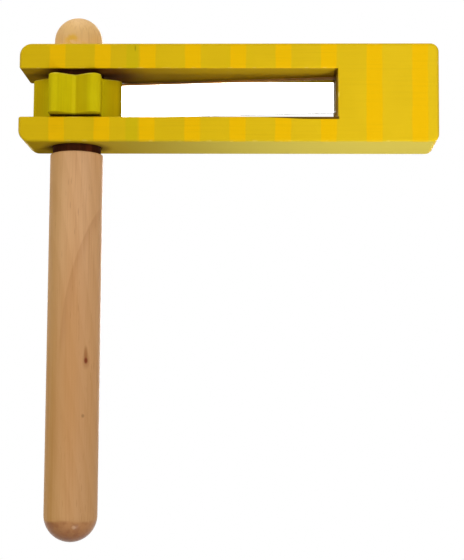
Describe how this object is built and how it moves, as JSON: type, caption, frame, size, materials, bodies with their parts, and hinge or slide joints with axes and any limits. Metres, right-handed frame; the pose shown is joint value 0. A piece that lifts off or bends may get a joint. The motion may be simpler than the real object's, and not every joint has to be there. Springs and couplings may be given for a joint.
{
  "type": "cog ratchet",
  "caption": "Wooden cog ratchet: a slotted, striped frame with a clear springy tongue spins on a turned handle and clicks over a six-toothed cog.",
  "frame": {"origin": "on the handle's axis, at the middle of the straight grip", "axes": "+Z along the handle towards the frame, +X along the arms towards the frame's solid end, -Y out of the front face"},
  "size_m": [0.1724, 0.0334, 0.2182],
  "materials": {
    "beech": "bare, sanded and waxed beech",
    "cog_paint": "olive yellow paint on wood, satin",
    "frame_paint": "olive yellow paint with warmer yellow stripes on wood, satin",
    "clear_slat": "clear, polished"
  },
  "bodies": {
    "handle_and_cog": {"handle": "beech", "cog": "cog_paint"},
    "frame_and_tongue": {"frame": "frame_paint", "tongue": "clear_slat"}
  },
  "joints": [
    {"name": "frame_spin", "type": "hinge", "parent": "handle_and_cog", "child": "frame_and_tongue", "pos_m": [0, 0, 0.0986], "axis": [0, 0, 1], "continuous": true, "deforming": ["tongue"]}
  ]
}
